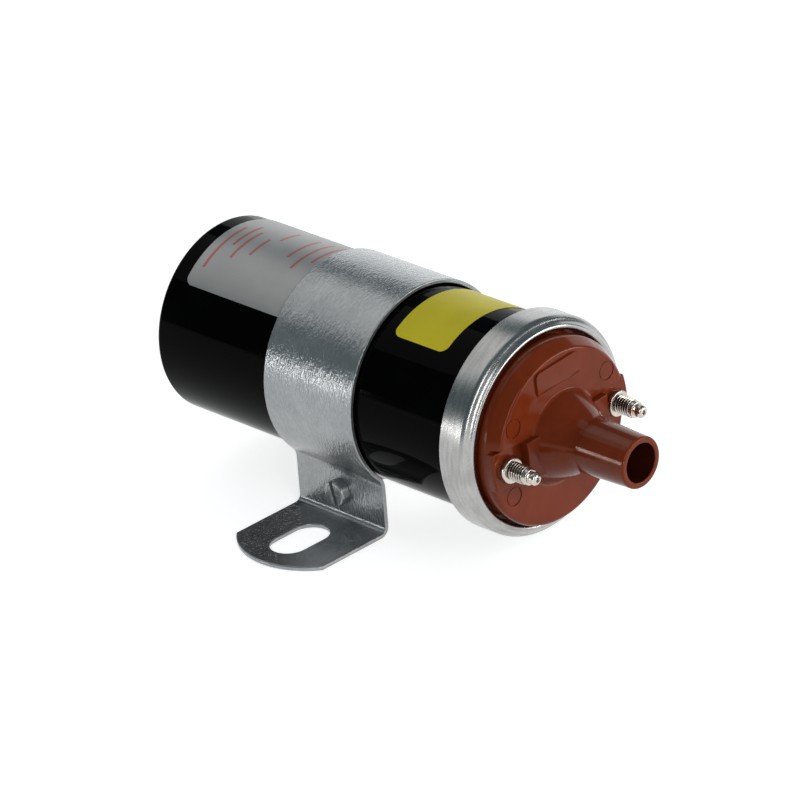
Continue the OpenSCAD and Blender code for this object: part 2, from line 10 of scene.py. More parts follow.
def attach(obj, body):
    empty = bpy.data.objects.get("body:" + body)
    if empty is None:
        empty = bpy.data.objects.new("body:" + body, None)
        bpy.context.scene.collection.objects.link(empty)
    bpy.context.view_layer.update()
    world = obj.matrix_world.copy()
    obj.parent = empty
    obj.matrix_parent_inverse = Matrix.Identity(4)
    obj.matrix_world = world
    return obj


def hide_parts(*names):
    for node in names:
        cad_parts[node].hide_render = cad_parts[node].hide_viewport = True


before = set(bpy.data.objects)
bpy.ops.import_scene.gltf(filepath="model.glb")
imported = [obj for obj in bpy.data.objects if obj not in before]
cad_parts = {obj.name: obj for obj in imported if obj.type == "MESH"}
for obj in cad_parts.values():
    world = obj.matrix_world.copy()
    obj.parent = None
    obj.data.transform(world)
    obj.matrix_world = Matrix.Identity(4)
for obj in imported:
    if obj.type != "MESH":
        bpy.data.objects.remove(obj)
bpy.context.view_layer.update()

MM = 0.001

# Values below are in millimetres, and angles in radians unless said
MERGE_REACH = 0.002

# The can's axis, the coil's turn in its clamp, and stations along X
AXIS_Y, AXIS_Z = 33.8, 35.7
COIL_TURN = math.radians(4.2)
CLOSED_END = -56.4
RIM = 49.5
LIP = 55.1
FLANGE = 50.5
FACE = 60.3
PAD = 61.9
RAISED = 63.0
BLOCK = 64.8

# Can and crimp ring
CAN_R = 26.0
CAN_WALL = 0.8
CAN_EDGE = 1.5
RIM_R = 27.7
RING_IN = 27.9
RING_T = 0.85
RING_STEPS = 640
BEAD = 0.95
BEAD_OUT = RING_IN - 2.7 + BEAD
LIP_TEETH = 160
LIP_TOOTH = 0.05

# Cap, with places across X measured from the can's axis before the coil is turned
FACE_R = 24.6
RAISED_R = 23.2
RAISED_LOW = 5.0
PAD_IN = 13.6
PAD_HALF = 5.3
BLOCK_IN, BLOCK_OUT = 9.6, 14.6
BLOCK_LOW, BLOCK_HIGH = -5.95, 5.15
PIN_Y, PIN_Z = 17.0, 10.1
PIN_R = 2.6
FLARE_R = 13.4
FLARE_H = 11.7
TOWER_FOOT_R = 7.3
TOWER_R = 6.8
TOWER_END = 88.8
BORE_R = 5.1
BARREL = 41.1
BARREL_R = 9.5
BARREL_BORE = 3.5
CAP_STEPS = 160
# How far the raised half and the pads reach below the face
SINK = 1.3

# Terminal studs
STUD_Y = 19.4
STUD_DOWN = 0.4
STUD_R = 2.4
STUD_HOLE_R = 2.5
SEAT_R = 3.65
STUD_SEAT = 61.6
STUD_PITCH = 0.8
STUD_THREAD = STUD_SEAT + 2.2
STUD_THREAD_L = 5.0
# Painted shade in the roots of the thread: its share per millimetre of depth, and its colour
SHADE_PER_MM = 2.2
ROOT_SHADE = (0.15, 0.127, 0.104)

# Bars on the silver label: station, and angles round the can in degrees from the front
LABEL_BARS = [(-47.5, 54, 92), (-44.5, 74, 98), (-41.8, 65, 92), (-37.2, 71, 88), (-34.5, 90, 106),
              (-26.9, 79, 106), (-22.8, 72, 108), (-19.2, 81, 110)]
BAR_W = 0.9

# Clamp screw and nut
SCREW_X, SCREW_Z = 0.0, 8.3
LEG_FRONT = 15.4
SCREW_R = 2.0
SCREW_L = 7.0
SCREW_PITCH = 0.7
HEAD_R = 3.5
HEAD_H = 2.6
SLOT_W = 1.2
SLOT_DEPTH = 1.2
SLOT_TURN = math.radians(75)
NUT_R = 3.1
NUT_FROM, NUT_TO = 18.3, 20.5


# Modelling helpers

def deselect():
    bpy.ops.object.select_all(action="DESELECT")


def pick(piece):
    """Selects one piece alone and makes it active."""
    deselect()
    piece.select_set(True)
    bpy.context.view_layer.objects.active = piece


@contextmanager
def editing(piece, mode="VERT"):
    """Edit mode on one piece."""
    pick(piece)
    bpy.ops.object.mode_set(mode="EDIT")
    bpy.ops.mesh.select_mode(type=mode)
    yield
    bpy.ops.object.mode_set(mode="OBJECT")


def select_edges(piece, test):
    """In edit mode, selects the edges that pass a test."""
    bpy.ops.mesh.select_all(action="DESELECT")
    mesh = bmesh.from_edit_mesh(piece.data)
    for edge in mesh.edges:
        if test(edge):
            edge.select_set(True)
    mesh.select_flush_mode()
    bmesh.update_edit_mesh(piece.data)


def finish_with(piece, kind, **settings):
    """Adds a modifier with these settings and applies it."""
    pick(piece)
    modifier = piece.modifiers.new(kind.title(), kind)
    for name, value in settings.items():
        setattr(modifier, name, value)
    bpy.ops.object.modifier_apply(modifier=modifier.name)


def settle(piece):
    """Puts a piece's place into its mesh."""
    pick(piece)
    bpy.ops.object.transform_apply(location=True, rotation=True, scale=True)


def smooth(piece, degrees=30):
    """Smooth shading up to an angle, in which large faces stay flat beside their rounded edges."""
    pick(piece)
    bpy.ops.object.shade_smooth_by_angle(angle=math.radians(degrees))
    finish_with(piece, "WEIGHTED_NORMAL", keep_sharp=True)


def close_up():
    """In edit mode, merges doubles and turns all faces outwards."""
    bpy.ops.mesh.select_all(action="SELECT")
    bpy.ops.mesh.remove_doubles(threshold=MERGE_REACH * MM)
    bpy.ops.mesh.normals_make_consistent(inside=False)


def arc(centre, r, start, end, steps):
    """Points on an arc of an outline, as (station, radius) with angles from the station's direction."""
    turns = [math.radians(start + (end - start) * i / steps) for i in range(steps + 1)]
    return [(centre[0] + r * math.cos(a), centre[1] + r * math.sin(a)) for a in turns]


def on_line(station, out, centre, along):
    """A point at a station and a radius of a turning axis along X or Y, in metres."""
    if along == "X":
        return Vector((station, centre[0] + out, centre[1])) * MM
    return Vector((centre[0] + out, station, centre[1])) * MM


def draw(outline, centre, along):
    """An outline drawn by extruding one vertex from point to point."""
    points = [on_line(station, out, centre, along) for station, out in outline]
    deselect()
    bpy.ops.mesh.primitive_circle_add(vertices=3, radius=MM, location=points[0])
    piece = bpy.context.object
    settle(piece)
    with editing(piece):
        bpy.ops.mesh.select_all(action="SELECT")
        bpy.ops.mesh.merge(type="CENTER")
        for before, after in zip(points, points[1:]):
            bpy.ops.mesh.extrude_vertices_move(TRANSFORM_OT_translate={"value": after - before})
    return piece


def turned(outline, centre, steps, along="X"):
    """An outline of (station, radius) points spun round an axis."""
    piece = draw(outline, centre, along)
    with editing(piece):
        bpy.ops.mesh.select_all(action="SELECT")
        bpy.ops.mesh.spin(steps=steps, angle=math.tau, center=on_line(0, 0, centre, along),
                          axis=(1, 0, 0) if along == "X" else (0, 1, 0))
        close_up()
    return piece


def threaded(root, crest, pitch, start, end, centre, along="X"):
    """A screw thread between two stations, cut square at both ends."""
    steps = 40
    flank, land = 0.38 * pitch, 0.1 * pitch
    outline = [(0, root), (flank, crest), (flank + land, crest), (2 * flank + land, root), (pitch, root)]
    piece = draw(outline, (0, 0), along)
    turns = math.ceil((end - start) / pitch) + 2
    finish_with(piece, "SCREW", axis=along, angle=math.tau, screw_offset=pitch * MM, iterations=turns,
                steps=steps, render_steps=steps, use_merge_vertices=True)
    piece.location = on_line(start - pitch, 0, centre, along)
    settle(piece)
    with editing(piece):
        close_up()
        normal = Vector((1, 0, 0) if along == "X" else (0, 1, 0))
        for station, side in ((start, -normal), (end, normal)):
            bpy.ops.mesh.select_all(action="SELECT")
            bpy.ops.mesh.bisect(plane_co=on_line(station, 0, centre, along), plane_no=side, use_fill=True,
                                clear_outer=True)
        close_up()
    return piece


def joined(*pieces):
    """Several meshes as one piece."""
    deselect()
    for piece in pieces:
        piece.select_set(True)
    bpy.context.view_layer.objects.active = pieces[0]
    bpy.ops.object.join()
    return pieces[0]


def upright(x, y, z):
    """A place given by a station and two distances from the can's axis, before the coil is turned."""
    return Vector((x, AXIS_Y + y, AXIS_Z + z)) * MM


def box(low, high):
    """A box between two upright places."""
    low, high = upright(*low), upright(*high)
    bpy.ops.mesh.primitive_cube_add(size=1, location=(low + high) / 2, scale=high - low)
    piece = bpy.context.object
    settle(piece)
    return piece


def rod(r, start, end, y, z):
    """A round cutter along X."""
    middle = upright((start + end) / 2, y, z)
    bpy.ops.mesh.primitive_cylinder_add(vertices=64, radius=r * MM, depth=(end - start) * MM,
                                        location=middle, rotation=(0, math.pi / 2, 0))
    piece = bpy.context.object
    settle(piece)
    return piece


def trim(piece, place, keep):
    """Cuts a piece flat through an upright place, keeping the side that a direction points to."""
    with editing(piece):
        bpy.ops.mesh.select_all(action="SELECT")
        bpy.ops.mesh.bisect(plane_co=upright(*place), plane_no=keep, use_fill=True, clear_inner=True)
        close_up()


def combine(piece, other, operation):
    """Adds another piece or cuts it away, and drops it."""
    finish_with(piece, "BOOLEAN", object=other, operation=operation, solver="MANIFOLD")
    bpy.data.objects.remove(other)


def round_edges(piece, width, degrees=40, segments=3):
    """Rounds the edges that turn by more than an angle."""
    finish_with(piece, "BEVEL", width=width * MM, segments=segments, limit_method="ANGLE",
                angle_limit=math.radians(degrees))


def place_in_clamp(piece):
    """Turns an upright piece about the can's axis, as the coil sits in its clamp."""
    axis = upright(0, 0, 0)
    piece.rotation_euler = (COIL_TURN, 0, 0)
    piece.location = axis - Matrix.Rotation(COIL_TURN, 3, "X") @ axis
    settle(piece)


def copy_of(node, reach):
    """A copy of a CAD node's shape with its points merged and its flat faces whole."""
    piece = bpy.data.objects.new(node + "_shape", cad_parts[node].data.copy())
    bpy.context.scene.collection.objects.link(piece)
    with editing(piece):
        bpy.ops.mesh.select_all(action="SELECT")
        bpy.ops.mesh.remove_doubles(threshold=reach * MM)
        bpy.ops.mesh.dissolve_limited(angle_limit=math.radians(0.3))
    return piece


def hand_over(piece, name, body, finish, node):
    """Names a finished piece, gives it its finish and body, and hides the CAD node it stands for."""
    piece.name = name
    piece.data.name = name
    piece.data.materials.clear()
    piece.data.materials.append(FINISHES[finish])
    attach(piece, body)
    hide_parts(node)


# Shared effects

def new_group(name, inputs, outputs):
    """A node group with number inputs and outputs, and its two end nodes."""
    group = bpy.data.node_groups.new(name, "ShaderNodeTree")
    for label, value in inputs:
        socket = group.interface.new_socket(label, in_out="INPUT", socket_type="NodeSocketFloat")
        socket.default_value = value
    for label in outputs:
        group.interface.new_socket(label, in_out="OUTPUT", socket_type="NodeSocketFloat")
    return group, group.nodes.new("NodeGroupInput"), group.nodes.new("NodeGroupOutput")


def soft_step(group, value, given, into):
    """Puts out a value that rises smoothly from 0 to 1 between the group's Low and High."""
    level = group.nodes.new("ShaderNodeMapRange")
    level.interpolation_type = "SMOOTHSTEP"
    group.links.new(value, level.inputs["Value"])
    group.links.new(given.outputs["Low"], level.inputs["From Min"])
    group.links.new(given.outputs["High"], level.inputs["From Max"])
    group.links.new(level.outputs["Result"], into)


def make_grain():
    """Fine lines that run round the can's axis or along the strap, from a noise stretched across X."""
    inputs = [("Across", 2600), ("Along", 90), ("Low", 0.35), ("High", 0.65)]
    group, given, put = new_group("rolled_grain", inputs, ["Grain"])
    nodes, links = group.nodes, group.links
    place = nodes.new("ShaderNodeTexCoord")
    scale = nodes.new("ShaderNodeCombineXYZ")
    links.new(given.outputs["Across"], scale.inputs["X"])
    links.new(given.outputs["Along"], scale.inputs["Y"])
    links.new(given.outputs["Along"], scale.inputs["Z"])
    stretch = nodes.new("ShaderNodeVectorMath")
    stretch.operation = "MULTIPLY"
    links.new(place.outputs["Object"], stretch.inputs[0])
    links.new(scale.outputs["Vector"], stretch.inputs[1])
    noise = nodes.new("ShaderNodeTexNoise")
    noise.inputs["Scale"].default_value = 1
    noise.inputs["Detail"].default_value = 3
    links.new(stretch.outputs["Vector"], noise.inputs["Vector"])
    soft_step(group, noise.outputs["Fac"], given, put.inputs["Grain"])
    return group


def make_blotches():
    """Soft uneven patches, such as stains, handling marks and mottled colour."""
    inputs = [("Size", 120), ("Detail", 4), ("Low", 0.4), ("High", 0.7)]
    group, given, put = new_group("blotches", inputs, ["Mask"])
    nodes, links = group.nodes, group.links
    place = nodes.new("ShaderNodeTexCoord")
    noise = nodes.new("ShaderNodeTexNoise")
    noise.inputs["Distortion"].default_value = 0.4
    links.new(place.outputs["Object"], noise.inputs["Vector"])
    links.new(given.outputs["Size"], noise.inputs["Scale"])
    links.new(given.outputs["Detail"], noise.inputs["Detail"])
    soft_step(group, noise.outputs["Fac"], given, put.inputs["Mask"])
    return group


GRAIN = make_grain()
BLOTCHES = make_blotches()


# Finishes

class Finish:
    """A material under construction: its nodes, its shader and short ways to place and join them."""

    def __init__(self, name):
        self.name = name
        self.material = bpy.data.materials.new(name)
        self.material.use_nodes = True
        self.nodes = self.material.node_tree.nodes
        self.links = self.material.node_tree.links
        self.shader = self.nodes["Principled BSDF"]

    def join(self, out, into):
        self.links.new(out, into)

    def group(self, tree, output, **values):
        """Output of a shared effect with its own values."""
        node = self.nodes.new("ShaderNodeGroup")
        node.node_tree = tree
        for label, value in values.items():
            node.inputs[label].default_value = value
        return node.outputs[output]

    def mix(self, mask, low, high):
        """Colour between two colours, or between a socket and a colour."""
        node = self.nodes.new("ShaderNodeMix")
        node.data_type = "RGBA"
        self.join(mask, node.inputs["Factor"])
        for value, socket in ((low, node.inputs["A"]), (high, node.inputs["B"])):
            if isinstance(value, bpy.types.NodeSocket):
                self.join(value, socket)
            else:
                socket.default_value = (*value, 1)
        return node.outputs["Result"]

    def spread(self, mask, low, high):
        """Number between two numbers."""
        node = self.nodes.new("ShaderNodeMapRange")
        node.inputs["To Min"].default_value = low
        node.inputs["To Max"].default_value = high
        self.join(mask, node.inputs["Value"])
        return node.outputs["Result"]

    def calc(self, first, second, operation):
        """Result of an operation on two sockets or numbers."""
        node = self.nodes.new("ShaderNodeMath")
        node.operation = operation
        for value, socket in ((first, node.inputs[0]), (second, node.inputs[1])):
            if isinstance(value, bpy.types.NodeSocket):
                self.join(value, socket)
            else:
                socket.default_value = value
        return node.outputs["Value"]

    def mean(self, first, second):
        return self.calc(self.calc(first, second, "ADD"), 0.5, "MULTIPLY")

    def place(self):
        """Node that gives X, Y and Z in the shared frame."""
        node = self.nodes.new("ShaderNodeSeparateXYZ")
        self.join(self.nodes.new("ShaderNodeTexCoord").outputs["Object"], node.inputs["Vector"])
        return node

    def from_axis(self, parts, y, z):
        """Distance from a line along X through a place in millimetres."""
        y = self.calc(parts.outputs["Y"], y * MM, "SUBTRACT")
        z = self.calc(parts.outputs["Z"], z * MM, "SUBTRACT")
        square = self.calc(self.calc(y, y, "MULTIPLY"), self.calc(z, z, "MULTIPLY"), "ADD")
        return self.calc(square, 0.5, "POWER")

    def near(self, value, middle, reach):
        """1 where a value lies within reach of a middle."""
        node = self.nodes.new("ShaderNodeMath")
        node.operation = "COMPARE"
        self.join(value, node.inputs[0])
        node.inputs[1].default_value = middle
        node.inputs[2].default_value = reach
        return node.outputs["Value"]

    def colour(self, out):
        self.join(out, self.shader.inputs["Base Color"])

    def rough(self, mask, low, high):
        """Roughness between two values."""
        self.join(self.spread(mask, low, high), self.shader.inputs["Roughness"])

    def bump(self, height, depth):
        """Relief of a depth in millimetres."""
        node = self.nodes.new("ShaderNodeBump")
        node.inputs["Strength"].default_value = 1
        node.inputs["Distance"].default_value = depth * MM
        self.join(height, node.inputs["Height"])
        self.join(node.outputs["Normal"], self.shader.inputs["Normal"])

    def set(self, **values):
        """Values that are the same all over."""
        for label, value in values.items():
            self.shader.inputs[label.replace("_", " ")].default_value = value


def black_lacquer():
    """Glossy black lacquer with a faint haze and the soft unevenness of a sprayed coat."""
    f = Finish("black_lacquer")
    haze = f.group(BLOTCHES, "Mask", Size=70, Detail=5, Low=0.42, High=0.75)
    peel = f.group(BLOTCHES, "Mask", Size=500, Detail=1, Low=0.2, High=0.8)
    f.colour(f.mix(haze, (0.0008, 0.0008, 0.001), (0.0016, 0.0016, 0.0018)))
    f.rough(haze, 0.04, 0.07)
    f.bump(peel, 0.0005)
    f.set(Specular_IOR_Level=0.025)
    return f


def stud_centre(side):
    """Place of a stud's axis across X."""
    y, z = Matrix.Rotation(COIL_TURN, 2) @ Vector((side * STUD_Y, -STUD_DOWN))
    return AXIS_Y + y, AXIS_Z + z


def thread_root_shade(f):
    """Mask of painted shade that grows with depth in the threads of the two studs."""
    parts = f.place()
    near_stud, far_stud = (f.from_axis(parts, *stud_centre(side)) for side in (-1, 1))
    depth = f.calc(STUD_R * MM, f.calc(near_stud, far_stud, "MINIMUM"), "SUBTRACT")
    reach = (STUD_THREAD_L - 0.3) / 2
    along = f.near(parts.outputs["X"], (STUD_THREAD + reach) * MM, reach * MM)
    return f.calc(f.calc(depth, SHADE_PER_MM / MM, "MULTIPLY"), along, "MULTIPLY")


def plated(name, dark, pale, rough, across, along, relief, stain=None, metallic=1.0):
    """Plated or bare metal: rolled grain and duller patches, and with a stain also painted shade in the
    thread roots.
    """
    f = Finish(name)
    grain = f.group(GRAIN, "Grain", Across=across, Along=along, Low=0.3, High=0.7)
    patches = f.group(BLOTCHES, "Mask", Size=110, Detail=6, Low=0.35, High=0.7)
    specks = f.group(BLOTCHES, "Mask", Size=2200, Detail=2, Low=0.3, High=0.75)
    colour = f.mix(f.mean(grain, patches), dark, pale)
    if stain:
        marks = f.group(BLOTCHES, "Mask", Size=260, Detail=6, Low=0.62, High=0.8)
        colour = f.mix(f.calc(marks, 0.6, "MULTIPLY"), colour, stain)
        # Painted shade: the thread roots are darkened more the deeper they go
        colour = f.mix(thread_root_shade(f), colour, ROOT_SHADE)
    f.colour(colour)
    f.rough(f.mean(patches, specks), *rough)
    f.bump(f.calc(grain, f.calc(specks, 0.5, "MULTIPLY"), "ADD"), relief)
    f.set(Metallic=metallic)
    return f


def brown_moulding():
    """Brown moulding, with painted shade that darkens the inside of the tower's bore."""
    f = Finish("brown_moulding")
    mottle = f.group(BLOTCHES, "Mask", Size=160, Detail=6, Low=0.3, High=0.72)
    skin = f.group(BLOTCHES, "Mask", Size=900, Detail=2, Low=0.25, High=0.8)
    brown = f.mix(mottle, (0.18, 0.026, 0.006), (0.215, 0.033, 0.009))
    # Painted shade: the inside of the tower's bore is coloured near black
    bore_shade = f.calc(f.from_axis(f.place(), AXIS_Y, AXIS_Z), (BORE_R + 0.1) * MM, "LESS_THAN")
    f.colour(f.mix(bore_shade, brown, (0.05, 0.008, 0.003)))
    f.rough(skin, 0.12, 0.16)
    f.bump(skin, 0.0006)
    f.set(Specular_IOR_Level=0.21, Specular_Tint=(1, 0.8, 0.7, 1))
    return f


def yellow_film():
    """Plain yellow label film."""
    f = Finish("yellow_film")
    patches = f.group(BLOTCHES, "Mask", Size=90, Detail=5, Low=0.3, High=0.75)
    weave = f.group(BLOTCHES, "Mask", Size=3000, Detail=1, Low=0.3, High=0.75)
    f.colour(f.mix(patches, (0.76, 0.61, 0.006), (0.85, 0.69, 0.01)))
    f.rough(weave, 0.4, 0.5)
    f.bump(weave, 0.003)
    f.set(Metallic=0, Specular_IOR_Level=0.2)
    return f


def silver_foil():
    """Silver foil with plain red bars that run round the can."""
    f = Finish("silver_foil")
    patches = f.group(BLOTCHES, "Mask", Size=60, Detail=4, Low=0.3, High=0.75)
    weave = f.group(BLOTCHES, "Mask", Size=3000, Detail=1, Low=0.3, High=0.75)
    parts = f.place()
    front = f.calc(AXIS_Y * MM, parts.outputs["Y"], "SUBTRACT")
    up = f.calc(parts.outputs["Z"], AXIS_Z * MM, "SUBTRACT")
    angle = f.calc(up, front, "ARCTAN2")
    marks = 0.0
    for station, start, end in LABEL_BARS:
        middle, reach = math.radians((start + end) / 2), math.radians((end - start) / 2)
        along = f.near(parts.outputs["X"], station * MM, BAR_W / 2 * MM)
        marks = f.calc(marks, f.calc(along, f.near(angle, middle, reach), "MULTIPLY"), "MAXIMUM")
    foil = f.mix(patches, (0.34, 0.333, 0.328), (0.39, 0.381, 0.374))
    f.colour(f.mix(f.calc(marks, 0.7, "MULTIPLY"), foil, (0.45, 0.04, 0.035)))
    f.rough(weave, 0.34, 0.46)
    f.bump(weave, 0.002)
    f.set(Metallic=0.6, Specular_IOR_Level=0.3)
    return f


def plain(name, dark, pale, rough, metallic=0.0, size=300):
    """Finish of a piece inside the can."""
    f = Finish(name)
    mask = f.group(BLOTCHES, "Mask", Size=size, Detail=4, Low=0.3, High=0.7)
    f.colour(f.mix(mask, dark, pale))
    f.rough(mask, *rough)
    f.bump(mask, 0.01)
    f.set(Metallic=metallic)
    return f


FINISHES = {f.name: f.material for f in (
    black_lacquer(),
    plated("zinc_plate", (0.3, 0.308, 0.315), (0.41, 0.414, 0.414), (0.14, 0.22),
           across=1600, along=650, relief=0.04, metallic=0.72),
    plated("bare_aluminium", (0.33, 0.323, 0.314), (0.48, 0.473, 0.462), (0.22, 0.34),
           across=1200, along=160, relief=0.004),
    plated("nickel_plate", (0.52, 0.465, 0.41), (0.74, 0.68, 0.62), (0.2, 0.3),
           across=2000, along=500, relief=0.001, stain=(0.3, 0.2, 0.1)),
    brown_moulding(),
    silver_foil(),
    yellow_film(),
    plain("gasket_rubber", (0.012, 0.012, 0.012), (0.03, 0.03, 0.03), (0.6, 0.8)),
    plain("brass", (0.5, 0.32, 0.1), (0.72, 0.5, 0.2), (0.22, 0.4), metallic=1),
    plain("enamelled_wire", (0.3, 0.09, 0.025), (0.5, 0.18, 0.06), (0.2, 0.35), size=900),
    plain("spring_steel", (0.35, 0.35, 0.36), (0.55, 0.55, 0.55), (0.2, 0.35), metallic=1),
    plain("core_iron", (0.16, 0.16, 0.17), (0.3, 0.3, 0.31), (0.35, 0.55), metallic=1),
    plain("oiled_paper", (0.32, 0.2, 0.08), (0.45, 0.3, 0.14), (0.5, 0.7), size=600),
    plain("porcelain", (0.68, 0.65, 0.58), (0.8, 0.78, 0.72), (0.12, 0.25)),
)}


# Pieces

def make_can():
    """Deep-drawn can: flat floor, round edge, straight wall and a flared rim under the crimp ring."""
    flare = RIM - CAN_WALL - (RIM_R - CAN_R)
    outside = [(CLOSED_END, 0), (CLOSED_END, CAN_R / 2)]
    outside += arc((CLOSED_END + CAN_EDGE, CAN_R - CAN_EDGE), CAN_EDGE, 180, 90, 8)
    outside += [(flare, CAN_R), (RIM - CAN_WALL, RIM_R), (RIM, RIM_R)]
    inner = CAN_R - CAN_WALL
    inside = [(RIM, RIM_R - CAN_WALL), (flare, inner)]
    inside += arc((CLOSED_END + CAN_EDGE, CAN_R - CAN_EDGE), CAN_EDGE - CAN_WALL, 90, 180, 5)
    inside += [(CLOSED_END + CAN_WALL, 0)]
    piece = turned(outside + inside, (AXIS_Y, AXIS_Z), steps=192)
    smooth(piece)
    hand_over(piece, "can_shell", "coil", "black_lacquer", "can")


def press_teeth(piece):
    """Crimp teeth: the inner side of the lip's bead goes in and out round the ring."""
    for vertex in piece.data.vertices:
        y, z = vertex.co.y / MM - AXIS_Y, vertex.co.z / MM - AXIS_Z
        out = math.hypot(y, z)
        inward = max(0.0, min(1.0, (BEAD_OUT - out) / BEAD))
        if vertex.co.x / MM > LIP + 0.1 and inward > 0:
            wave = math.sin(LIP_TEETH * math.atan2(z, y))
            shift = 1 + LIP_TOOTH * inward * wave / out
            vertex.co.y = (AXIS_Y + y * shift) * MM
            vertex.co.z = (AXIS_Z + z * shift) * MM


def make_crimp_ring():
    """Rolled ring: coned rear edge, straight wall, round shoulder, groove and a beaded lip with teeth."""
    outer = RING_IN + RING_T
    rear, cone = RIM - 3, RIM - 1
    rear_in = CAN_R + 0.2
    front = LIP + RING_T
    shoulder, inner_bend = 1.8, 0.6
    outline = [(rear, rear_in), (rear, rear_in + RING_T - 0.15), (rear + 0.1, rear_in + RING_T)]
    outline += [(cone - RING_T - 0.15, outer - 0.13), (cone - RING_T + 0.1, outer)]
    outline += arc((front - shoulder, outer - shoulder), shoulder, 90, 22, 10)
    outline += arc((LIP + BEAD, BEAD_OUT), BEAD, 66, -128, 14)
    outline += [(LIP, BEAD_OUT), (LIP, RING_IN - inner_bend), (LIP - inner_bend, RING_IN)]
    outline += [(cone, RING_IN), (cone - 1.7, rear_in), outline[0]]
    piece = turned(outline, (AXIS_Y, AXIS_Z), steps=RING_STEPS)
    press_teeth(piece)
    smooth(piece, 40)
    hand_over(piece, "rolled_crimp_ring", "coil", "bare_aluminium", "crimp_ring")


def flare_at(station):
    """Radius of the tower's flare at a station."""
    return FLARE_R - (FLARE_R - TOWER_FOOT_R) / FLARE_H * (station - FACE)


def make_cap_body():
    """Turned body of the cap: flange with a gap inside the ring's lip, hollow underside, face and tower."""
    flange_r = RIM_R - 0.1
    gap, gap_in, gap_out = LIP - 1.8, FACE_R - 0.9, FACE_R + 0.8
    hollow, hollow_r = FACE - 4.4, FACE_R - 2
    socket, socket_r = FACE + 1, 4.7
    bore_edge, tower_edge, face_edge = 0.45, 0.6, 1.2
    straight = (FACE + FLARE_H + 1.5, TOWER_FOOT_R)
    knee = (FACE + FLARE_H, TOWER_FOOT_R)
    bend = (FACE + 0.8 * FLARE_H, flare_at(FACE + 0.8 * FLARE_H))
    foot = flare_at(FACE)
    outline = [(BARREL, BARREL_BORE), (socket, BARREL_BORE), (socket, socket_r), (socket + 1.2, socket_r)]
    outline += [(socket + 1.2, BORE_R), (TOWER_END - bore_edge, BORE_R)]
    outline += arc((TOWER_END - bore_edge, BORE_R + bore_edge), bore_edge, 270, 360, 5)
    outline += arc((TOWER_END - tower_edge, TOWER_R - tower_edge), tower_edge, 0, 90, 6) + [straight]
    for step in range(1, 9):
        t = step / 8
        outline.append(tuple((1 - t) ** 2 * a + 2 * t * (1 - t) * b + t * t * c
                             for a, b, c in zip(straight, knee, bend)))
    outline += [(FACE + 1, flare_at(FACE + 1)), (FACE + 0.5, foot + 0.05), (FACE + 0.2, foot + 0.4)]
    outline += [(FACE, foot + 1.1)] + arc((FACE - face_edge, FACE_R - face_edge), face_edge, 0, 90, 8)
    outline += [(LIP + 2, FACE_R), (LIP + 1.4, gap_in), (gap, gap_in), (gap, gap_out), (LIP, gap_out)]
    outline += [(LIP, flange_r), (FLANGE, flange_r), (FLANGE, hollow_r), (hollow, hollow_r)]
    outline += [(hollow, BARREL_R), (BARREL, BARREL_R), (BARREL, BARREL_BORE)]
    return turned(outline, (AXIS_Y, AXIS_Z), steps=CAP_STEPS)


def make_raised_half():
    """Raised half of the cap: round rim, fillet at the flare and lower edges that climb outwards."""
    edge, fillet = 1.3, 0.5
    climb, climb_from = math.radians(6.5), 13.4
    foot, foot_r = FACE - SINK, FACE_R - 0.1
    top = RAISED + fillet
    outline = [(foot, BARREL_R), (foot, foot_r), (FACE - 0.4, foot_r)]
    outline += arc((RAISED - edge, RAISED_R - edge), edge, 62, 0, 7)
    outline += [(RAISED, flare_at(RAISED) + fillet), (RAISED + 0.12, flare_at(RAISED) + 0.15)]
    outline += [(top, flare_at(top)), (top, BARREL_R), (foot, BARREL_R)]
    piece = turned(outline, (AXIS_Y, AXIS_Z), steps=CAP_STEPS)
    trim(piece, (0, 0, RAISED_LOW), (0, 0, 1))
    for side in (-1, 1):
        trim(piece, (0, side * climb_from, RAISED_LOW), (0, -side * math.sin(climb), math.cos(climb)))
    round_edges(piece, 0.25)
    return piece


def make_pad(side):
    """Pad under a stud, out to the rim."""
    edge, outer = 0.6, FACE_R - 0.1
    outline = [(FACE - SINK, 0), (FACE - SINK, outer)]
    outline += arc((PAD - edge, outer - edge), edge, 90, 0, 6) + [(PAD, 0)]
    piece = turned(outline, (AXIS_Y, AXIS_Z), steps=CAP_STEPS)
    trim(piece, (0, 0, PAD_HALF), (0, 0, -1))
    trim(piece, (0, 0, -PAD_HALF), (0, 0, 1))
    trim(piece, (0, side * PAD_IN, 0), (0, side, 0))
    round_edges(piece, 0.25)
    return piece


def make_panel():
    """Low wedge at the top of the raised half, highest along its rounded upper edge."""
    wide, tall, corner, rise, step = 15.4, 6.4, 1.6, 0.6, 0.02
    low = RAISED_R - 2.4 - tall
    piece = box((RAISED - 1, -wide / 2, low), (RAISED + rise, wide / 2, low + tall))
    with editing(piece, "EDGE"):
        top = upright(0, 0, low + tall).z
        select_edges(piece, lambda edge: all(abs(v.co.z - top) < 1e-6 for v in edge.verts)
                     and abs(edge.verts[0].co.x - edge.verts[1].co.x) > MM)
        bpy.ops.mesh.bevel(offset=corner * MM, segments=6)
    trim(piece, (RAISED + step, 0, low), (-tall, 0, rise - step))
    return piece


def make_pin_mark(level, y, z):
    """Cutter for the round mark of an ejector pin, with a fine groove at its edge."""
    floor, groove, groove_in = level - 0.08, level - 0.3, PIN_R - 0.3
    outline = [(groove, groove_in), (groove, PIN_R), (level + 1, PIN_R), (level + 1, 0), (floor, 0),
               (floor, groove_in), (groove, groove_in)]
    return turned(outline, (AXIS_Y + y, AXIS_Z + z), steps=48)


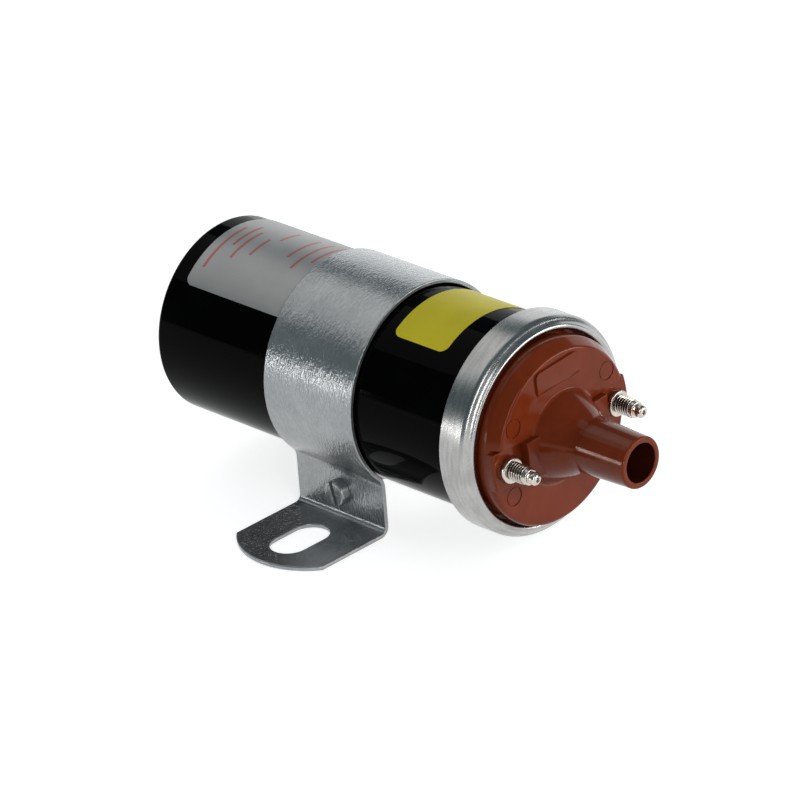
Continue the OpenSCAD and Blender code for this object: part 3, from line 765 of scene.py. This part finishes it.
def make_cap():
    """Moulded cap: turned body, raised half, pads, blocks and seats at the studs, pin marks and wedge."""
    piece = make_cap_body()
    combine(piece, make_raised_half(), "UNION")
    for side in (-1, 1):
        combine(piece, make_pad(side), "UNION")
        inner, outer = sorted((side * BLOCK_IN, side * BLOCK_OUT))
        block = box((FACE - 1.5, inner, BLOCK_LOW), (BLOCK, outer, BLOCK_HIGH))
        round_edges(block, 0.3)
        combine(piece, block, "UNION")
        seat = rod(SEAT_R, STUD_SEAT, STUD_SEAT + 2.5, side * STUD_Y, -STUD_DOWN)
        combine(piece, seat, "DIFFERENCE")
        hole = rod(STUD_HOLE_R, FACE - 6, STUD_SEAT + 1, side * STUD_Y, -STUD_DOWN)
        combine(piece, hole, "DIFFERENCE")
        for level, up in ((RAISED, 1), (FACE, -1)):
            combine(piece, make_pin_mark(level, side * PIN_Y, up * PIN_Z), "DIFFERENCE")
    combine(piece, make_panel(), "UNION")
    place_in_clamp(piece)
    smooth(piece, 32)
    hand_over(piece, "moulded_cap", "coil", "brown_moulding", "cap")


def make_stud(name, node, side):
    """Terminal stud: riveted foot, shoulder, collar, rolled thread, plain end, neck and a drilled tip."""
    centre = stud_centre(side)
    collar, thread = STUD_SEAT + 1.1, STUD_THREAD
    end = thread + STUD_THREAD_L
    neck = end + 0.9
    tip = end + 3.2
    foot = STUD_SEAT - 7.7
    core, plain_r = STUD_R - 0.54, STUD_R - 0.25
    rivet_r, shoulder_r, collar_r, neck_r = 2.8, 2.9, 3.4, 1.4
    collar_edge, plain_edge, tip_edge = 0.35, 0.3, 1.0
    outline = [(foot, 0), (foot, rivet_r - 0.3), (foot + 0.3, rivet_r), (foot + 1, rivet_r)]
    outline += [(foot + 1, STUD_R), (STUD_SEAT, STUD_R), (STUD_SEAT, shoulder_r), (collar, shoulder_r)]
    outline += [(collar, collar_r - 0.2), (collar + 0.2, collar_r)]
    outline += arc((thread - collar_edge, collar_r - collar_edge), collar_edge, 90, 0, 4)
    outline += [(thread, core), (end - 0.3, core), (end - 0.25, STUD_R - 0.1), (end, plain_r)]
    outline += [(neck - plain_edge, plain_r)]
    outline += arc((neck - plain_edge, plain_r - plain_edge), plain_edge, 90, 0, 4)
    outline += [(neck, neck_r + 0.15), (neck + 0.15, neck_r), (neck + 0.4, neck_r)]
    outline += [(neck + 0.5, neck_r + 0.2)]
    outline += arc((tip - tip_edge, 0.7), tip_edge, 90, 0, 6)
    outline += [(tip - 0.1, 0.55), (tip - 0.7, 0.4), (tip - 0.9, 0)]
    body = turned(outline, centre, steps=48)
    thread_turns = threaded(core - 0.05, STUD_R, STUD_PITCH, thread - 0.2, end - 0.28, centre)
    piece = joined(body, thread_turns)
    smooth(piece, 35)
    hand_over(piece, name, "coil", "nickel_plate", node)


def make_clamp_screw():
    """Slotted cheese-head screw with its thread."""
    centre = (SCREW_X, SCREW_Z)
    under, end = LEG_FRONT, LEG_FRONT + SCREW_L
    top = under - HEAD_H
    edge, core = 0.6, SCREW_R - 0.35
    outline = [(top, 0)] + arc((top + edge, HEAD_R - edge), edge, 180, 90, 5)
    outline += [(under - 0.15, HEAD_R), (under, HEAD_R - 0.15), (under, SCREW_R), (under + 1.2, SCREW_R)]
    outline += [(under + 1.4, core), (end - 0.5, core), (end, core - 0.35), (end, 0)]
    body = turned(outline, centre, steps=64, along="Y")
    cut = HEAD_H - SLOT_DEPTH
    slot_middle = Vector((SCREW_X, top + SLOT_DEPTH - cut / 2, SCREW_Z)) * MM
    bpy.ops.mesh.primitive_cube_add(size=1, location=slot_middle, rotation=(0, SLOT_TURN, 0),
                                    scale=(4 * HEAD_R * MM, cut * MM, SLOT_W * MM))
    cutter = bpy.context.object
    settle(cutter)
    combine(body, cutter, "DIFFERENCE")
    round_edges(body, 0.12, degrees=50, segments=2)
    thread_turns = threaded(core - 0.05, SCREW_R, SCREW_PITCH, under + 1.25, end - 0.4, centre, along="Y")
    piece = joined(body, thread_turns)
    smooth(piece, 35)
    hand_over(piece, "slotted_screw", "screw", "zinc_plate", "clamp_screw")


def make_clamp_nut():
    """Round nut with broken edges."""
    hole, edge = SCREW_R + 0.08, 0.3
    outline = [(NUT_FROM, hole), (NUT_FROM, NUT_R), (NUT_TO - edge, NUT_R), (NUT_TO, NUT_R - edge),
               (NUT_TO, hole + edge), (NUT_TO - edge, hole), (NUT_FROM, hole)]
    piece = turned(outline, (SCREW_X, SCREW_Z), steps=64, along="Y")
    smooth(piece)
    hand_over(piece, "round_nut", "bracket", "zinc_plate", "clamp_nut")


def make_strap():
    """Bent strap with the sheared edges of its sheet eased."""
    piece = copy_of("clamp_strap", 0.03)
    finish_with(piece, "BEVEL", width=0.3 * MM, segments=3, limit_method="ANGLE",
                angle_limit=math.radians(40), use_clamp_overlap=False)
    smooth(piece, 32)
    hand_over(piece, "bent_strap", "bracket", "zinc_plate", "clamp_strap")


def make_label(name, node, finish):
    """Label film laid round the can."""
    piece = copy_of(node, 0.004)
    smooth(piece)
    hand_over(piece, name, "coil", finish, node)


def dress_inner_nodes():
    """Finishes of the CAD nodes that stay, as the record lists them."""
    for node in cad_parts.values():
        slots = [slot.material.name.split(".")[0] for slot in node.material_slots if slot.material]
        for index, slot in enumerate(slots):
            if slot in FINISHES:
                node.material_slots[index].material = FINISHES[slot]


make_can()
make_crimp_ring()
make_cap()
make_stud("threaded_stud_near", "terminal_stud_near", -1)
make_stud("threaded_stud_far", "terminal_stud_far", 1)
make_clamp_screw()
make_clamp_nut()
make_strap()
make_label("silver_label_film", "silver_label", "silver_foil")
make_label("yellow_label_film", "yellow_label", "yellow_film")
dress_inner_nodes()


# Floor, light and camera

def make_floor():
    """Pale floor that keeps the shadow and shows white to the camera and in gloss."""
    grey, glow = 0.86, 0.7
    deselect()
    bpy.ops.mesh.primitive_plane_add(size=9, location=(0, 0, -0.0002))
    floor = bpy.context.object
    floor.name = "floor"
    f = Finish("pale_floor")
    path = f.nodes.new("ShaderNodeLightPath")
    seen = f.calc(f.calc(path.outputs["Is Camera Ray"], path.outputs["Is Glossy Ray"], "MAXIMUM"),
                  path.outputs["Is Transmission Ray"], "MAXIMUM")
    f.join(f.calc(seen, glow, "MULTIPLY"), f.shader.inputs["Emission Strength"])
    f.set(Base_Color=(grey, grey, grey, 1), Roughness=1.0, Specular_IOR_Level=0.0,
          Emission_Color=(1, 1, 1, 1))
    floor.data.materials.append(f.material)


def facing(place, aim, roll):
    """Rotation of a lamp or camera that looks from a place to a point, rolled by some degrees."""
    turn = (aim - place).to_track_quat("-Z", "Y") @ Quaternion((0, 0, 1), math.radians(roll))
    return turn.to_euler()


def add_light(name, power, size, place, aim, colour=(1, 1, 1), roll=0):
    """Area light turned to a point and rolled by some degrees."""
    light = bpy.data.lights.new(name, "AREA")
    light.energy = power
    light.shape = "RECTANGLE"
    light.size, light.size_y = size
    light.color = colour
    lamp = bpy.data.objects.new(name, light)
    bpy.context.scene.collection.objects.link(lamp)
    lamp.location = place
    lamp.rotation_euler = facing(Vector(place), Vector(aim), roll)


def light_scene():
    """Dim blue surroundings, four softboxes, and a strip and two small lamps for the long glints."""
    world = bpy.data.worlds.new("studio")
    bpy.context.scene.world = world
    world.use_nodes = True
    background = world.node_tree.nodes["Background"]
    background.inputs["Color"].default_value = (0.68, 0.9, 1, 1)
    background.inputs["Strength"].default_value = 0.18
    middle = (0.01, 0.033, 0.035)
    warm = (1, 0.97, 0.95)
    add_light("top_softbox", 2.2, (0.9, 1.1), (-0.5, 0.1, 1.7), middle)
    add_light("left_softbox", 2.15, (1.11, 0.8), (-0.91, -0.07, 0.945), middle, warm)
    add_light("back_softbox", 5.9, (1.9, 0.9), (-0.6, 1.25, 0.36), middle)
    add_light("right_softbox", 7, (1.0, 0.3), (1.05, 0.7, 0.2), middle, warm)
    add_light("front_strip", 3.4, (0.1, 0.92), (0.9, -0.53, 0.47), middle, roll=-31)
    add_light("strap_lamp", 0.09, (0.02, 0.05), (-0.652, -0.74, 0.07), middle)
    add_light("tower_lamp", 0.45, (0.05, 0.15), (-0.467, -0.74, 0.08), middle)


def add_camera():
    """Camera that was fitted to the photograph's outlines."""
    place = Vector((1100.22, -1009.38, 772.36)) * MM
    aim = Vector((13.323, 25.949, 33.799)) * MM
    camera = bpy.data.objects.new("camera", bpy.data.cameras.new("camera"))
    bpy.context.scene.collection.objects.link(camera)
    camera.data.sensor_width = 36
    camera.data.lens = 299.04
    camera.data.clip_end = 50
    camera.location = place
    camera.rotation_euler = facing(place, aim, roll=-4.476)
    bpy.context.scene.camera = camera


make_floor()
light_scene()
add_camera()
bpy.context.scene.view_settings.view_transform = "Standard"
